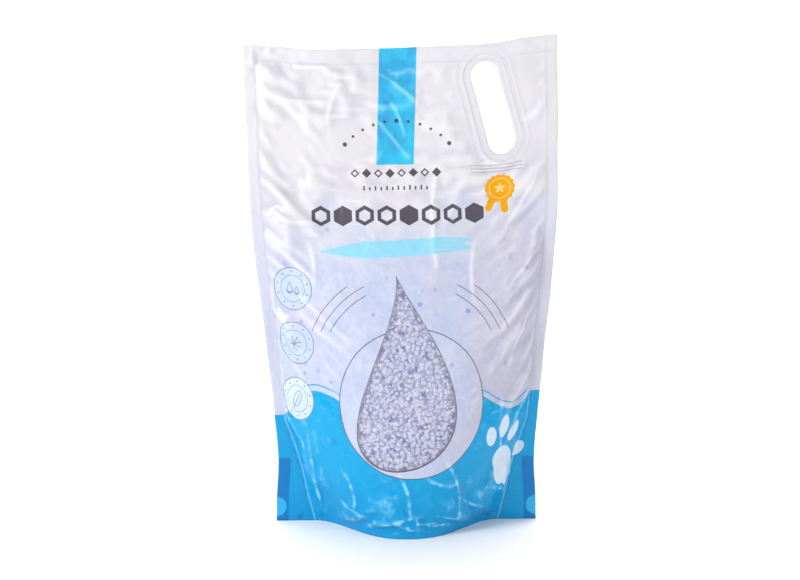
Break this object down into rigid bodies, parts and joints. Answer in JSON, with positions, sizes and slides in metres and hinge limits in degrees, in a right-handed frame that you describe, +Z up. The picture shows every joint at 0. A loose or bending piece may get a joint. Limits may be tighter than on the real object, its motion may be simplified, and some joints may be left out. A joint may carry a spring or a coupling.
{
  "type": "cat litter bag",
  "caption": "Stand-up film pouch of silica gel cat litter with a folded bottom gusset, a slanted hand hole and a clear window on the granules.",
  "frame": {"origin": "on the ground, midway between the front and the back and on the pouch's middle line at its foot", "axes": "+Z up, -Y out of the printed front, +X to the right as the front is seen"},
  "size_m": [0.2884, 0.1216, 0.455],
  "materials": {
    "printed_film": "glossy",
    "plain_film": "glossy",
    "gusset_film": "glossy",
    "granules": "satin"
  },
  "bodies": {
    "root": {"front_panel": "printed_film", "back_panel": "plain_film", "bottom_gusset": "gusset_film", "litter_fill": "granules"}
  },
  "joints": []
}
